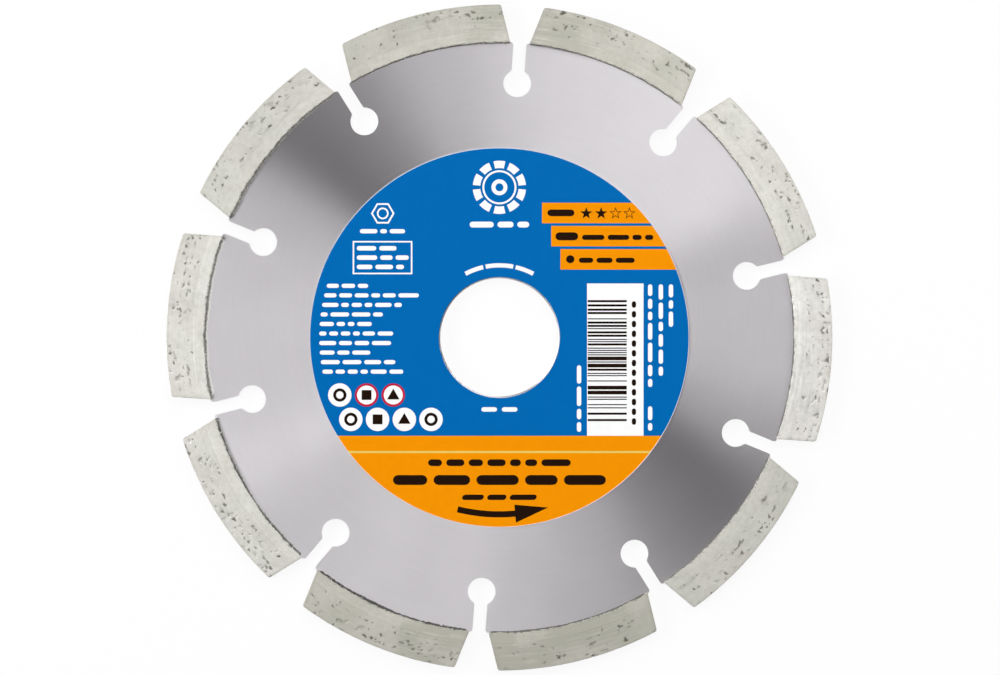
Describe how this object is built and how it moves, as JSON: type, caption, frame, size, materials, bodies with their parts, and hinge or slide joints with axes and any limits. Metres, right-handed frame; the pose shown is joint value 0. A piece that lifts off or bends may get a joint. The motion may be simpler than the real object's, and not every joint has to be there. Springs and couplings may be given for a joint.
{
  "type": "diamond blade",
  "caption": "Segmented diamond cutting blade: a ground steel disc with keyhole slots, sintered segments welded round its rim, a central bore and a printed label.",
  "frame": {"origin": "on the bore's axis, at half of the blade's width", "axes": "+Z along the bore, out of the printed face; +Y up on the label; +X to the right on the label"},
  "size_m": [0.125, 0.125, 0.0022],
  "materials": {
    "core_steel": "ground bright steel with fine circular grinding lines",
    "segment_metal": "ground sintered metal with dark diamond grit and fine grinding lines",
    "foot_metal": "ground sintered metal without grit",
    "weld_metal": "rough laser weld",
    "ink_blue": "satin printed ink",
    "ink_orange": "satin printed ink",
    "ink_cream": "satin printed ink",
    "ink_white": "satin printed ink",
    "ink_red": "satin printed ink",
    "ink_black": "satin printed ink"
  },
  "bodies": {
    "root": {"steel_core": "core_steel", "diamond_segment_01": "segment_metal", "diamond_segment_02": "segment_metal", "diamond_segment_03": "segment_metal", "diamond_segment_04": "segment_metal", "diamond_segment_05": "segment_metal", "diamond_segment_06": "segment_metal", "diamond_segment_07": "segment_metal", "diamond_segment_08": "segment_metal", "diamond_segment_09": "segment_metal", "diamond_segment_10": "segment_metal", "segment_foot_01": "foot_metal", "segment_foot_02": "foot_metal", "segment_foot_03": "foot_metal", "segment_foot_04": "foot_metal", "segment_foot_05": "foot_metal", "segment_foot_06": "foot_metal", "segment_foot_07": "foot_metal", "segment_foot_08": "foot_metal", "segment_foot_09": "foot_metal", "segment_foot_10": "foot_metal", "weld_beads_01": "weld_metal", "weld_beads_02": "weld_metal", "weld_beads_03": "weld_metal", "weld_beads_04": "weld_metal", "weld_beads_05": "weld_metal", "weld_beads_06": "weld_metal", "weld_beads_07": "weld_metal", "weld_beads_08": "weld_metal", "weld_beads_09": "weld_metal", "weld_beads_10": "weld_metal", "label_field": "ink_blue", "label_band": "ink_orange", "label_rule": "ink_cream", "label_bar_1": "ink_orange", "label_bar_2": "ink_orange", "label_bar_3": "ink_orange", "label_panel": "ink_white", "label_arrow": "ink_black", "label_spot_1": "ink_white", "label_spot_2": "ink_white", "label_spot_3": "ink_white", "label_spot_4": "ink_white", "label_spot_5": "ink_white", "label_spot_6": "ink_white", "label_spot_7": "ink_white", "label_ring_1": "ink_red", "label_ring_2": "ink_red"}
  },
  "joints": []
}
